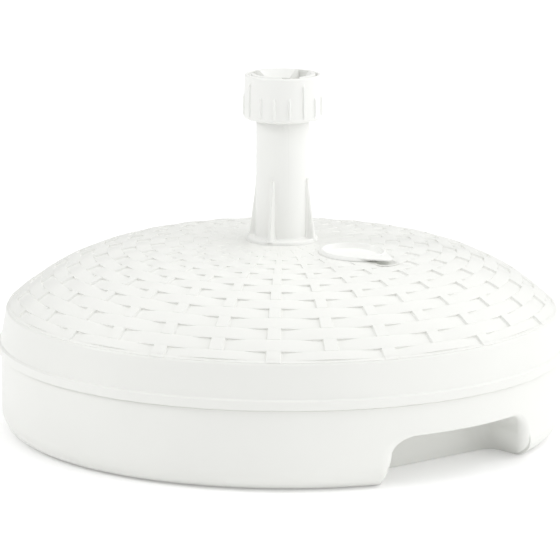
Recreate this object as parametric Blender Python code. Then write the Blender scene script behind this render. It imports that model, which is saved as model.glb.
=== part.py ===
"""Fillable garden parasol base: a welded two-shell tank, a lift-out pole tube, a screw clamp and a fill plug.

Run it with: blender --background --python part.py
Units are metres and +Z is up. The origin is the centre of the footprint, at the floor.
Directions round the axis are angles in degrees from the front (-Y), turning towards +X.
"""

import math

import bmesh
import bpy
from mathutils import Matrix, Vector

# ---- driving dimensions -------------------------------------------------------------------------
WALL = 0.003
GAP = 0.0003

DRUM_RADIUS = 0.2573
DRUM_EDGE_ROUND = 0.0255
SEAM_HEIGHT = 0.074
BEAD_RADIUS = 0.260
BEAD_TOP = 0.0835
SHOULDER_RADIUS = 0.2585
SHOULDER_HEIGHT = 0.0862
CREASE_RADIUS = 0.252
CREASE_HEIGHT = 0.1135
APEX_HEIGHT = 0.1745
DOME_POWER = 3.85

FOOT_INNER_RADIUS = 0.214
UNDERSIDE_HEIGHT = 0.0035
HUB_RADIUS = 0.035
HUB_HEIGHT = 0.010
TONGUE_TOP = 0.0812
TONGUE_INNER_RADIUS = 0.2512
TONGUE_ROOT = 0.062

HANDLE_ANGLES = (40.0, 220.0)
HANDLE_BACK = 0.188
HANDLE_SIDE_ROUND = 0.014
HANDLE_ROOF_ROUND = 0.006
HANDLE_MOUTH = 0.290
HANDLE_HALF_WIDTH = 0.0752
HANDLE_SPLAY = 0.02
HANDLE_FLARE = 0.0165
HANDLE_TOP = 0.0455
HANDLE_CORNER = 0.018
HANDLE_FOOT_BACK = 0.182
HANDLE_FOOT_FRONT = 0.212
HANDLE_FOOT_WIDTH = 0.180
HANDLE_FOOT_BOTTOM = 0.0002

WELL_RADIUS = 0.0243
WELL_FLOOR = HUB_HEIGHT + GAP + WALL
POLE_PAD_RADIUS = 0.0203
POLE_PAD_HEIGHT = 0.0008

TUBE_RADIUS = 0.024
TUBE_BORE = 0.021
TUBE_TOP = 0.312
FLANGE_RADIUS = 0.0325
FLANGE_THICKNESS = 0.0035
FIN_ANGLES = (-22.0, 68.0, 158.0, 248.0)
FIN_HEIGHT = 0.055
FIN_REACH = 0.0315
FIN_THICKNESS = 0.004

THREAD_PITCH = 0.005
THREAD_FOOT = 0.0026
THREAD_CREST = 0.0014
MALE_CREST_RADIUS = 0.0263
FEMALE_CREST_RADIUS = 0.0252
THREAD_BURY = 0.0007

NUT_BOTTOM = 0.286
NUT_STEP = 0.310
NUT_TOP = 0.3275
NUT_BORE = 0.027
NUT_FOOT_RADIUS = 0.0354
NUT_HEAD_RADIUS = 0.0347
NUT_MOUTH_RADIUS = 0.0302
RIB_COUNT = 16
RIB_START_ANGLE = -12.5
LONG_RIB_EVERY = 4
RIB_WIDTH = 0.0022
RIB_PROUD = 0.001
SHORT_RIB_TOP = 0.3085
LONG_RIB_TOP = 0.3205

COLLET_BORE = 0.0195
COLLET_RING_TOP = 0.316
COLLET_TOP = 0.328
COLLET_GAP_ANGLES = (15.0, 135.0, 255.0)
COLLET_GAP_WIDTH = 0.017

PLUG_DISTANCE = 0.088
PLUG_ANGLE = 46.8
PLUG_RADIUS = 0.031
PLUG_RIM_HEIGHT = 0.0036
PLUG_DISH_RADIUS = 0.0274
PLUG_FLOOR_RADIUS = 0.0250
PLUG_BODY_RADIUS = 0.027
PLUG_DEPTH = 0.016
NECK_RADIUS = 0.0285
NECK_WALL = 0.0022
NECK_DEPTH = 0.014
SEAT_RADIUS = 0.034
SEAL_RING_RADIUS = 0.0267
SEAL_SECTION = 0.0015
SEAL_HEIGHT = -0.008
PLUG_TAB_REACH = 0.0375
PLUG_TAB_RADIUS = 0.0075
PLUG_TAB_ROOT = 0.0285
PLUG_TAB_BOTTOM = 0.0012
PLUG_TAB_TOP = 0.0027
SCOOP_DISTANCE = 0.0405
SCOOP_SIZE = (0.0125, 0.0095, 0.0065)
SCOOP_WALL = 0.0022

SHELL_STEPS = 64
DOME_RINGS = 8
TUBE_STEPS = 48
THREAD_STEPS = 24
ARC_STEPS = 4
ON_AXIS = 1e-6

RESIN = (0.86, 0.87, 0.84)
CLAMP_RESIN = (0.84, 0.85, 0.82)
RUBBER = (0.05, 0.05, 0.05)


# ---- geometry helpers ---------------------------------------------------------------------------
def polar(radius, degrees, height=0.0):
    angle = math.radians(degrees)
    return Vector((radius * math.sin(angle), -radius * math.cos(angle), height))


def arc(centre, radius, start, end):
    """Points (radius, height) along a circular arc in the section plane, both ends included."""
    points = []
    for k in range(ARC_STEPS + 1):
        angle = math.radians(start + (end - start) * k / ARC_STEPS)
        points.append((centre[0] + radius * math.cos(angle), centre[1] + radius * math.sin(angle)))
    return points


def dome_height(radius):
    """The dome is nearly flat round the pole tube and falls ever faster towards its crease."""
    fall = APEX_HEIGHT - CREASE_HEIGHT
    return APEX_HEIGHT - fall * (radius / CREASE_RADIUS) ** DOME_POWER


def dome_slope(radius):
    fall = APEX_HEIGHT - CREASE_HEIGHT
    return fall * DOME_POWER / CREASE_RADIUS * (radius / CREASE_RADIUS) ** (DOME_POWER - 1)


def material(name, colour, roughness):
    made = bpy.data.materials.new(name)
    made.use_nodes = True
    shader = made.node_tree.nodes["Principled BSDF"]
    shader.inputs["Base Color"].default_value = (*colour, 1.0)
    shader.inputs["Roughness"].default_value = roughness
    shader.inputs["Metallic"].default_value = 0.0
    return made


def add_object(name, bm, finish=None):
    """Closes the bmesh into an object with its faces pointing out and its round faces shaded smooth."""
    bmesh.ops.recalc_face_normals(bm, faces=bm.faces)
    mesh = bpy.data.meshes.new(name)
    bm.to_mesh(mesh)
    bm.free()
    mesh.shade_smooth()
    mesh.set_sharp_from_angle(angle=math.radians(30))
    made = bpy.data.objects.new(name, mesh)
    bpy.context.scene.collection.objects.link(made)
    if finish:
        mesh.materials.append(finish)
    else:
        made.hide_render = True
        made.display_type = "WIRE"
    return made


def bridge(bm, near, far):
    """Quads between two closed rings of vertices; a ring collapsed to one vertex gives triangles."""
    count = len(near)
    for k in range(count):
        corners = []
        for vertex in (near[k], near[(k + 1) % count], far[(k + 1) % count], far[k]):
            if vertex not in corners:
                corners.append(vertex)
        if len(corners) > 2:
            bm.faces.new(corners)


def turned(name, outline, steps, finish=None):
    """A closed outline of (radius, height) points, turned about Z."""
    bm = bmesh.new()
    rings = []
    for radius, height in outline:
        if radius < ON_AXIS:
            rings.append([bm.verts.new((0.0, 0.0, height))] * steps)
        else:
            rings.append([bm.verts.new(polar(radius, 360.0 * k / steps, height)) for k in range(steps)])
    for near, far in zip(rings, rings[1:] + rings[:1]):
        bridge(bm, near, far)
    return add_object(name, bm, finish)


def lofted(bm, sections):
    """A closed skin over a row of closed sections with equal point counts, capped at both ends."""
    rings = [[bm.verts.new(point) for point in section] for section in sections]
    for near, far in zip(rings, rings[1:]):
        bridge(bm, near, far)
    bm.faces.new(rings[0])
    bm.faces.new(rings[-1])


def block(bm, degrees, inner, outer, bottom, top, width):
    """A straight block standing on a radius, from one radius to another and one height to another."""
    across = polar(1.0, degrees + 90.0) * (width / 2)
    sections = []
    for radius in (inner, outer):
        out = polar(radius, degrees)
        corners = ((-1, bottom), (1, bottom), (1, top), (-1, top))
        sections.append([out + across * side + Vector((0, 0, height)) for side, height in corners])
    lofted(bm, sections)


def combine(target, other, operation):
    modifier = target.modifiers.new(f"{operation.lower()} {other.name}", "BOOLEAN")
    modifier.operation = operation
    modifier.solver = "EXACT"
    modifier.object = other


# ---- lower tank ---------------------------------------------------------------------------------
def handle_section(distance, degrees, half_width, top):
    """One cross-section of a handle recess: open below, flared towards the floor, round top corners."""
    corner = HANDLE_CORNER
    right = [(half_width + HANDLE_FLARE, -0.02)]
    right += [
        (half_width - corner + x, top - corner + z)
        for x, z in arc((0.0, 0.0), corner, 0.0, 90.0)
    ]
    outline = right + [(-x, z) for x, z in reversed(right)]
    across = polar(1.0, degrees + 90.0)
    return [polar(distance, degrees, z) + across * x for x, z in outline]


def handle_recesses(name, grow):
    """Both handle recesses as one cutter, grown by a wall for the tank's inner side."""
    bm = bmesh.new()
    back = HANDLE_BACK - grow
    top = HANDLE_TOP + grow
    stations = [(back + HANDLE_SIDE_ROUND * (1 + x), 1 - z) for x, z in arc((0.0, 0.0), 1.0, 180.0, 90.0)]
    stations.append((HANDLE_MOUTH, 0.0))
    for degrees in HANDLE_ANGLES:
        sections = []
        for distance, share in stations:
            half_width = HANDLE_HALF_WIDTH + HANDLE_SPLAY * (distance - HANDLE_BACK) + grow
            half_width -= HANDLE_SIDE_ROUND * share
            sections.append(handle_section(distance, degrees, half_width, top - HANDLE_ROOF_ROUND * share))
        lofted(bm, sections)
    return add_object(name, bm)


def handle_feet(name):
    """Low walls that take the foot ring round the inner side of both recesses."""
    bm = bmesh.new()
    top = UNDERSIDE_HEIGHT + WALL / 2
    for degrees in HANDLE_ANGLES:
        block(bm, degrees, HANDLE_FOOT_BACK, HANDLE_FOOT_FRONT, HANDLE_FOOT_BOTTOM, top, HANDLE_FOOT_WIDTH)
    return add_object(name, bm)


def make_lower_tank(finish):
    outer_arc = arc((DRUM_RADIUS - DRUM_EDGE_ROUND, DRUM_EDGE_ROUND), DRUM_EDGE_ROUND, -90.0, 0.0)
    tongue_outer = DRUM_RADIUS - WALL - GAP
    outside = [(0.0, UNDERSIDE_HEIGHT), (FOOT_INNER_RADIUS - 0.003, UNDERSIDE_HEIGHT), (FOOT_INNER_RADIUS, 0.0)]
    outside += outer_arc
    outside += [
        (DRUM_RADIUS, SEAM_HEIGHT - GAP),
        (tongue_outer, SEAM_HEIGHT - GAP),
        (tongue_outer, TONGUE_TOP),
        (0.0, TONGUE_TOP),
    ]
    tank = turned("lower_tank", outside, SHELL_STEPS, finish)

    inner_arc = arc((DRUM_RADIUS - DRUM_EDGE_ROUND, DRUM_EDGE_ROUND), DRUM_EDGE_ROUND - WALL, -90.0, 0.0)
    floor = UNDERSIDE_HEIGHT + WALL
    inside = [
        (0.0, HUB_HEIGHT),
        (HUB_RADIUS, HUB_HEIGHT),
        (HUB_RADIUS + 0.002, floor),
        (FOOT_INNER_RADIUS - 0.0045, floor),
        (FOOT_INNER_RADIUS - 0.0015, WALL),
    ]
    inside += inner_arc
    inside += [
        (DRUM_RADIUS - WALL, TONGUE_ROOT),
        (TONGUE_INNER_RADIUS, TONGUE_ROOT + 0.006),
        (TONGUE_INNER_RADIUS, TONGUE_TOP + 0.01),
        (0.0, TONGUE_TOP + 0.01),
    ]
    cavity = turned("tank_cavity", inside, SHELL_STEPS)
    combine(cavity, handle_recesses("recess_skins", WALL), "DIFFERENCE")
    combine(tank, handle_feet("recess_feet"), "UNION")
    combine(tank, handle_recesses("recesses", 0.0), "DIFFERENCE")
    combine(tank, cavity, "DIFFERENCE")
    return tank


# ---- upper shell --------------------------------------------------------------------------------
def dome_rings(first, last):
    """Radii from first to last, closer together towards the steep rim."""
    radii = []
    for k in range(DOME_RINGS + 1):
        share = math.sin(math.pi / 2 * k / DOME_RINGS)
        radii.append(first + (last - first) * share)
    return radii


def make_upper_shell(finish, plug_frame):
    skirt = DRUM_RADIUS - WALL + GAP / 3
    well_outer = WELL_RADIUS + WALL
    outline = [(0.0, HUB_HEIGHT + GAP), (well_outer, HUB_HEIGHT + GAP)]
    inner_rim = CREASE_RADIUS - WALL
    for radius in dome_rings(well_outer, inner_rim):
        thickness = WALL * math.hypot(1.0, dome_slope(radius))
        outline.append((radius, dome_height(radius) - thickness))
    outline += [
        (SHOULDER_RADIUS - WALL, SHOULDER_HEIGHT),
        (skirt, BEAD_TOP),
        (skirt, SEAM_HEIGHT),
        (BEAD_RADIUS, SEAM_HEIGHT),
        (BEAD_RADIUS, BEAD_TOP),
        (SHOULDER_RADIUS, SHOULDER_HEIGHT),
    ]
    for radius in reversed(dome_rings(WELL_RADIUS, CREASE_RADIUS)):
        outline.append((radius, dome_height(radius)))
    pad_top = WELL_FLOOR + POLE_PAD_HEIGHT
    outline += [(WELL_RADIUS, WELL_FLOOR), (POLE_PAD_RADIUS, WELL_FLOOR), (POLE_PAD_RADIUS, pad_top), (0.0, pad_top)]
    shell = turned("upper_shell", outline, SHELL_STEPS, finish)

    neck_outer = NECK_RADIUS + NECK_WALL
    neck = [(0.0, -NECK_DEPTH), (neck_outer, -NECK_DEPTH), (neck_outer, -0.0018), (SEAT_RADIUS, -0.0018)]
    neck += [(SEAT_RADIUS, -0.0003), (SEAT_RADIUS - 0.0005, 0.0), (0.0, 0.0)]
    hole = [(0.0, -0.03), (NECK_RADIUS, -0.03), (NECK_RADIUS, 0.01), (0.0, 0.01)]
    parts = [
        (turned("fill_neck", neck, TUBE_STEPS), "UNION"),
        (scoop("scoop_skin", SCOOP_WALL, -0.0012), "UNION"),
        (scoop("scoop_hollow", 0.0, None), "DIFFERENCE"),
        (turned("fill_hole", hole, TUBE_STEPS), "DIFFERENCE"),
    ]
    for piece, operation in parts:
        piece.parent = plug_frame
        combine(shell, piece, operation)
    return shell


def scoop(name, grow, flat_top):
    """The finger scoop under the plug's tab: a squashed ball, or its lower part for the skin below."""
    bm = bmesh.new()
    bmesh.ops.create_uvsphere(bm, u_segments=20, v_segments=10, radius=1.0)
    if flat_top is not None:
        level = flat_top / (SCOOP_SIZE[2] + grow)
        whole = bm.verts[:] + bm.edges[:] + bm.faces[:]
        cut = bmesh.ops.bisect_plane(
            bm, geom=whole, plane_co=(0, 0, level), plane_no=(0, 0, 1), clear_outer=True
        )
        rim = [edge for edge in cut["geom_cut"] if isinstance(edge, bmesh.types.BMEdge)]
        bmesh.ops.contextual_create(bm, geom=rim)
    size = Matrix.Diagonal([half + grow for half in SCOOP_SIZE]).to_4x4()
    turn = Matrix.Rotation(math.radians(PLUG_ANGLE), 4, "Z")
    place = Matrix.Translation(polar(SCOOP_DISTANCE, PLUG_ANGLE))
    bmesh.ops.transform(bm, matrix=place @ turn @ size, verts=bm.verts)
    return add_object(name, bm)


# ---- pole tube ----------------------------------------------------------------------------------
def thread_ridge(name, buried, crest, first_height, turns, offset):
    """A helical ridge of trapezium section, right-handed, climbing one pitch a turn."""
    bm = bmesh.new()
    sections = []
    for k in range(round(turns * THREAD_STEPS) + 1):
        degrees = 360.0 * k / THREAD_STEPS
        height = first_height + offset + THREAD_PITCH * k / THREAD_STEPS
        profile = (
            (buried, height - THREAD_FOOT / 2),
            (crest, height - THREAD_CREST / 2),
            (crest, height + THREAD_CREST / 2),
            (buried, height + THREAD_FOOT / 2),
        )
        sections.append([polar(radius, degrees, z) for radius, z in profile])
    lofted(bm, sections)
    return add_object(name, bm)


def fins(name, base):
    bm = bmesh.new()
    for degrees in FIN_ANGLES:
        across = polar(1.0, degrees + 90.0) * (FIN_THICKNESS / 2)
        inner = TUBE_RADIUS - 0.0015
        outline = [
            polar(inner, degrees, base),
            polar(FIN_REACH, degrees, base),
            polar(FIN_REACH - 0.0006, degrees, base + 0.004),
            polar(TUBE_RADIUS + 0.0008, degrees, base + FIN_HEIGHT),
            polar(inner, degrees, base + FIN_HEIGHT + 0.001),
        ]
        lofted(bm, [[point + across * side for point in outline] for side in (-1, 1)])
    return add_object(name, bm)


def make_pole_tube(finish):
    flange_bottom = APEX_HEIGHT + GAP
    flange_top = flange_bottom + FLANGE_THICKNESS
    outline = [
        (TUBE_BORE, WELL_FLOOR + GAP),
        (TUBE_RADIUS, WELL_FLOOR + GAP),
        (TUBE_RADIUS, flange_bottom),
        (FLANGE_RADIUS, flange_bottom),
        (FLANGE_RADIUS, flange_top - 0.0012),
        (FLANGE_RADIUS - 0.0012, flange_top),
        (TUBE_RADIUS + 0.001, flange_top),
        (TUBE_RADIUS, flange_top + 0.001),
        (TUBE_RADIUS, TUBE_TOP - 0.0008),
        (TUBE_RADIUS - 0.0008, TUBE_TOP),
        (TUBE_BORE, TUBE_TOP),
    ]
    tube = turned("pole_tube", outline, TUBE_STEPS, finish)
    combine(tube, fins("tube_fins", flange_top - 0.001), "UNION")
    ridge = thread_ridge("male_thread", TUBE_RADIUS - THREAD_BURY, MALE_CREST_RADIUS, 0.2925, 3.0, 0.0)
    combine(tube, ridge, "UNION")
    return tube


# ---- screw clamp --------------------------------------------------------------------------------
def grip_ribs(name):
    bm = bmesh.new()
    for k in range(RIB_COUNT):
        degrees = RIB_START_ANGLE + 360.0 * k / RIB_COUNT
        outer = NUT_FOOT_RADIUS + RIB_PROUD
        block(bm, degrees, NUT_HEAD_RADIUS - 0.0012, outer, NUT_BOTTOM + 0.0045, SHORT_RIB_TOP, RIB_WIDTH)
    return add_object(name, bm)


def long_ribs(name):
    bm = bmesh.new()
    for k in range(2, RIB_COUNT, LONG_RIB_EVERY):
        degrees = RIB_START_ANGLE + 360.0 * k / RIB_COUNT
        outer = NUT_HEAD_RADIUS + RIB_PROUD
        block(bm, degrees, NUT_HEAD_RADIUS - 0.0015, outer, SHORT_RIB_TOP - 0.003, LONG_RIB_TOP, RIB_WIDTH * 0.9)
    return add_object(name, bm)


def make_clamp_nut(finish):
    outline = [
        (NUT_BORE + 0.0003, NUT_BOTTOM),
        (NUT_BORE + 0.0018, NUT_BOTTOM),
        (NUT_FOOT_RADIUS - 0.0018, NUT_BOTTOM + 0.0012),
        (NUT_FOOT_RADIUS, NUT_BOTTOM + 0.0036),
        (NUT_HEAD_RADIUS, NUT_TOP - 0.0025),
        (NUT_HEAD_RADIUS - 0.0008, NUT_TOP - 0.0007),
        (NUT_HEAD_RADIUS - 0.0022, NUT_TOP),
        (NUT_MOUTH_RADIUS + 0.0004, NUT_TOP - 0.0003),
        (NUT_MOUTH_RADIUS, NUT_TOP - 0.0015),
        (NUT_MOUTH_RADIUS + 0.001, NUT_STEP - 0.001),
        (NUT_BORE, NUT_STEP - 0.002),
        (NUT_BORE, NUT_BOTTOM + 0.003),
    ]
    nut = turned("clamp_nut", outline, TUBE_STEPS, finish)
    combine(nut, grip_ribs("short_grip_ribs"), "UNION")
    combine(nut, long_ribs("long_grip_ribs"), "UNION")
    ridge = thread_ridge(
        "female_thread", NUT_BORE + THREAD_BURY, FEMALE_CREST_RADIUS, 0.2925, 2.0, THREAD_PITCH / 2
    )
    combine(nut, ridge, "UNION")
    return nut


def make_clamp_collet(finish):
    """A ring with three jaws; the nut's mouth narrows upwards and presses them on to the pole."""
    outline = [
        (COLLET_BORE, TUBE_TOP + GAP),
        (0.0304, TUBE_TOP + GAP),
        (0.0304, COLLET_RING_TOP),
        (0.0298, NUT_TOP - 0.0015),
        (0.0293, COLLET_TOP - 0.0006),
        (0.0287, COLLET_TOP),
        (COLLET_BORE + 0.0008, COLLET_TOP),
        (COLLET_BORE, COLLET_TOP - 0.0008),
    ]
    collet = turned("clamp_collet", outline, TUBE_STEPS, finish)
    bm = bmesh.new()
    for degrees in COLLET_GAP_ANGLES:
        block(bm, degrees, 0.010, 0.040, COLLET_RING_TOP, COLLET_TOP + 0.005, COLLET_GAP_WIDTH)
    # The three blocks start outside one another, so they stay separate closed bodies.
    combine(collet, add_object("jaw_gaps", bm), "DIFFERENCE")
    return collet


# ---- fill plug ----------------------------------------------------------------------------------
def make_plug_frame():
    """An empty on the plug's axis, at its seat, with local Z square to the dome there."""
    frame = bpy.data.objects.new("plug_axis", None)
    bpy.context.scene.collection.objects.link(frame)
    frame.location = polar(PLUG_DISTANCE, PLUG_ANGLE, dome_height(PLUG_DISTANCE))
    normal = polar(dome_slope(PLUG_DISTANCE), PLUG_ANGLE, 1.0).normalized()
    frame.rotation_mode = "QUATERNION"
    frame.rotation_quaternion = Vector((0, 0, 1)).rotation_difference(normal)
    return frame


def make_fill_plug(finish, plug_frame):
    groove_floor = SEAL_RING_RADIUS - SEAL_SECTION - GAP
    groove_half = SEAL_SECTION + GAP
    body_inner = groove_floor - 0.002
    outline = [
        (0.0, -0.0030),
        (body_inner, -0.0030),
        (body_inner, -PLUG_DEPTH),
        (PLUG_BODY_RADIUS - 0.0012, -PLUG_DEPTH),
        (PLUG_BODY_RADIUS, -PLUG_DEPTH + 0.002),
        (PLUG_BODY_RADIUS, SEAL_HEIGHT - groove_half),
        (groove_floor, SEAL_HEIGHT - groove_half),
        (groove_floor, SEAL_HEIGHT + groove_half),
        (PLUG_BODY_RADIUS, SEAL_HEIGHT + groove_half),
        (PLUG_BODY_RADIUS, GAP),
        (PLUG_RADIUS, GAP),
        (PLUG_RADIUS, 0.0012),
        (PLUG_RADIUS - 0.0016, PLUG_RIM_HEIGHT - 0.0004),
        (PLUG_RADIUS - 0.0022, PLUG_RIM_HEIGHT),
        (PLUG_DISH_RADIUS + 0.0006, PLUG_RIM_HEIGHT),
        (PLUG_DISH_RADIUS, PLUG_RIM_HEIGHT - 0.0006),
        (PLUG_FLOOR_RADIUS + 0.0004, -0.0002),
        (PLUG_FLOOR_RADIUS - 0.0006, -0.0008),
        (0.0, -0.0008),
    ]
    plug = turned("fill_plug", outline, TUBE_STEPS, finish)
    plug.parent = plug_frame
    tab = lifting_tab("lifting_tab")
    tab.parent = plug_frame
    combine(plug, tab, "UNION")
    return plug


def lifting_tab(name):
    """A tongue that narrows from the plug's rim to a round tip over the finger scoop."""
    spread = math.degrees(math.acos((PLUG_TAB_ROOT - PLUG_TAB_RADIUS) / PLUG_TAB_REACH))
    outline = []
    for k in range(13):
        outline.append(polar(PLUG_TAB_ROOT, PLUG_ANGLE - spread + 2 * spread * k / 12))
    tip = polar(PLUG_TAB_REACH, PLUG_ANGLE)
    for k in range(9):
        outline.append(tip + polar(PLUG_TAB_RADIUS, PLUG_ANGLE + spread - 2 * spread * k / 8))
    bm = bmesh.new()
    sections = []
    for height in (PLUG_TAB_BOTTOM, PLUG_TAB_TOP):
        sections.append([point + Vector((0, 0, height)) for point in outline])
    lofted(bm, sections)
    return add_object(name, bm)


def make_plug_seal(finish, plug_frame):
    outline = []
    sides = 8
    for k in range(sides):
        angle = 2 * math.pi * (k + 0.5) / sides
        outline.append(
            (SEAL_RING_RADIUS + SEAL_SECTION * math.cos(angle), SEAL_HEIGHT + SEAL_SECTION * math.sin(angle))
        )
    seal = turned("plug_seal_ring", outline, TUBE_STEPS, finish)
    seal.parent = plug_frame
    return seal


def main():
    for old in list(bpy.data.objects):
        bpy.data.objects.remove(old)
    plug_frame = make_plug_frame()
    make_lower_tank(material("lower_tank_resin", RESIN, 0.42))
    make_upper_shell(material("upper_shell_resin", RESIN, 0.42), plug_frame)
    make_pole_tube(material("tube_resin", CLAMP_RESIN, 0.38))
    make_clamp_nut(material("nut_resin", CLAMP_RESIN, 0.36))
    make_clamp_collet(material("collet_resin", CLAMP_RESIN, 0.40))
    make_fill_plug(material("plug_resin", CLAMP_RESIN, 0.38), plug_frame)
    make_plug_seal(material("seal_rubber", RUBBER, 0.60), plug_frame)


main()
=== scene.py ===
import math

import bmesh
import bpy
import numpy as np
from mathutils import Matrix, Vector


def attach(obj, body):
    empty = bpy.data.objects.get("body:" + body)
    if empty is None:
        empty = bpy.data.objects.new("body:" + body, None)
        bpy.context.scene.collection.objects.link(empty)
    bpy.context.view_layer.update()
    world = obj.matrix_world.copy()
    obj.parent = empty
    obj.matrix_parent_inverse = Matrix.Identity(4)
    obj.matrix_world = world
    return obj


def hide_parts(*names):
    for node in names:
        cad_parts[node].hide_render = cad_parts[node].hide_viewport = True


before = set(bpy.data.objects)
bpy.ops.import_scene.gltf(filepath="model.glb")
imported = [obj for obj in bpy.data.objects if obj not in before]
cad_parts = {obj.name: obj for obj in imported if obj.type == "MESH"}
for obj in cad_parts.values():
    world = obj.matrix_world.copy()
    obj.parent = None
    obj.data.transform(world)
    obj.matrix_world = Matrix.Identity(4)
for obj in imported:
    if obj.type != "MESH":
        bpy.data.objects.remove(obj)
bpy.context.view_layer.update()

# Looks of the parasol base. Metres, +Z up; angles run in degrees from the front (-Y) towards +X.
# Sections of turned pieces are lists of (radius, height, rounding of that corner).

# ---- the tank's main sizes -----------------------------------------------------------------------
APEX_HEIGHT = 0.1745
CREASE_RADIUS = 0.252
CREASE_HEIGHT = 0.1135
DOME_POWER = 3.85
DOME_FALL = APEX_HEIGHT - CREASE_HEIGHT
WALL = 0.003
GAP = 0.0003
DRUM_RADIUS = 0.2573
EDGE_ROUND = 0.0268
SEAM_HEIGHT = 0.074
WELL_RADIUS = 0.0243
WELL_FLOOR = 0.0133

# ---- the weave -----------------------------------------------------------------------------------
STAKES = 30
STAKE_STEP = 360.0 / STAKES
FIRST_STAKE = -1.65
STAKE_HALF = 1.52
ROW_PITCH = 0.01325
WEAVE_INNER_RADIUS = 0.036
RELIEF = 0.00110

# ---- the fill plug's place -----------------------------------------------------------------------
PLUG_DISTANCE = 0.088
PLUG_ANGLE = 46.8
SEAT_TOP = -0.0008
SCOOP_SIZE = (0.0115, 0.0082, 0.0036)
SCOOP_DISTANCE = 0.0405

UP = np.array((0.0, 0.0, 1.0))


def polar(radius, degrees, height=0.0):
    angle = math.radians(degrees)
    return Vector((radius * math.sin(angle), -radius * math.cos(angle), height))


def directions(degrees):
    """Outwards and sideways at an angle round the axis."""
    return np.array(polar(1.0, degrees)), np.array(polar(1.0, degrees + 90))


def dome_height(radius):
    return APEX_HEIGHT - DOME_FALL * (radius / CREASE_RADIUS) ** DOME_POWER


def dome_slope(radius):
    return DOME_FALL * DOME_POWER / CREASE_RADIUS * (radius / CREASE_RADIUS) ** (DOME_POWER - 1)


def smooth(value, low, high):
    share = np.clip((value - low) / (high - low), 0.0, 1.0)
    return share * share * (3 - 2 * share)


# ---- mesh helpers --------------------------------------------------------------------------------
def rounded(corners, steps=6):
    """A closed section as points, with each rounded corner turned into an arc."""
    points = []
    count = len(corners)
    for k, (x, z, rounding) in enumerate(corners):
        here = np.array((x, z))
        if rounding <= 0:
            points.append(here)
            continue
        before = np.array(corners[k - 1][:2]) - here
        after = np.array(corners[(k + 1) % count][:2]) - here
        length_before = np.linalg.norm(before)
        length_after = np.linalg.norm(after)
        before = before / length_before
        after = after / length_after
        half = math.acos(np.clip(before @ after, -1, 1)) / 2
        reach = min(rounding / math.tan(half), 0.49 * length_before, 0.49 * length_after)
        radius = reach * math.tan(half)
        middle = before + after
        centre = here + middle / np.linalg.norm(middle) * radius / math.sin(half)
        start = here + before * reach - centre
        end = here + after * reach - centre
        first = math.atan2(start[1], start[0])
        turn = (math.atan2(end[1], end[0]) - first + math.pi) % (2 * math.pi) - math.pi
        for i in range(steps + 1):
            angle = first + turn * i / steps
            points.append(centre + radius * np.array((math.cos(angle), math.sin(angle))))
    return points


def refine(points, longest):
    """Adds points along the straight runs of a closed section."""
    fine = []
    for here, there in zip(points, points[1:] + points[:1]):
        parts = max(1, math.ceil(np.linalg.norm(there - here) / longest))
        fine += [here + (there - here) * k / parts for k in range(parts)]
    return fine


def ring(radius, height, angles):
    """Points round the axis; radius and height may vary with the angle (in radians)."""
    radius = np.broadcast_to(radius, angles.shape)
    height = np.broadcast_to(height, angles.shape)
    return np.stack([radius * np.sin(angles), -radius * np.cos(angles), height], axis=1)


def add_object(name, mesh):
    made = bpy.data.objects.new(name, mesh)
    bpy.context.scene.collection.objects.link(made)
    return made


def face_out(made):
    bm = bmesh.new()
    bm.from_mesh(made.data)
    if bm.calc_volume(signed=True) < 0:
        bmesh.ops.reverse_faces(bm, faces=bm.faces)
    bm.to_mesh(made.data)
    bm.free()


def from_bmesh(name, bm):
    """A closed bmesh as an object that faces outwards."""
    mesh = bpy.data.meshes.new(name)
    bm.to_mesh(mesh)
    bm.free()
    made = add_object(name, mesh)
    face_out(made)
    return made


def skin(name, rings):
    """A mesh through rings of points, closed from the last to the first; a lone point is a pole."""
    starts = np.cumsum([0] + [len(r) for r in rings])
    faces = []
    for a in range(len(rings)):
        b = (a + 1) % len(rings)
        n, m = len(rings[a]), len(rings[b])
        k = np.arange(max(n, m))
        here = starts[a] + (k if n > 1 else 0 * k)
        here_next = starts[a] + ((k + 1) % n if n > 1 else 0 * k)
        there = starts[b] + (k if m > 1 else 0 * k)
        there_next = starts[b] + ((k + 1) % m if m > 1 else 0 * k)
        if n > 1 and m > 1:
            faces += np.stack([here, here_next, there_next, there], axis=1).tolist()
        elif n > 1:
            faces += np.stack([here, here_next, there], axis=1).tolist()
        elif m > 1:
            faces += np.stack([here, there_next, there], axis=1).tolist()
    mesh = bpy.data.meshes.new(name)
    mesh.from_pydata(np.concatenate(rings).tolist(), [], faces)
    mesh.update()
    made = add_object(name, mesh)
    face_out(made)
    return made


def lathe(name, points, steps):
    """A section turned about the axis; points on the axis become poles."""
    angles = np.linspace(0, 2 * math.pi, steps, endpoint=False)
    rings = []
    for radius, height in points:
        if radius < 1e-6:
            rings.append(np.array([[0.0, 0.0, height]]))
        else:
            rings.append(ring(radius, height, angles))
    return skin(name, rings)


def closed_loft(name, rings):
    """Rings of points joined by quads, with a fan of triangles over each end."""
    bm = bmesh.new()
    rows = [[bm.verts.new(p) for p in row] for row in rings]
    for near, far in zip(rows, rows[1:]):
        n = len(near)
        for k in range(n):
            bm.faces.new((near[k], near[(k + 1) % n], far[(k + 1) % n], far[k]))
    for row in (rows[0], rows[-1]):
        centre = Vector((0, 0, 0))
        for vertex in row:
            centre += vertex.co
        hub = bm.verts.new(centre / len(row))
        for k in range(len(row)):
            bm.faces.new((row[k], row[(k + 1) % len(row)], hub))
    bmesh.ops.recalc_face_normals(bm, faces=bm.faces)
    return from_bmesh(name, bm)


def settle(made):
    """Applies the object's modifiers and gives it their mesh."""
    graph = bpy.context.evaluated_depsgraph_get()
    mesh = bpy.data.meshes.new_from_object(made.evaluated_get(graph))
    made.modifiers.clear()
    made.data = mesh


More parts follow.
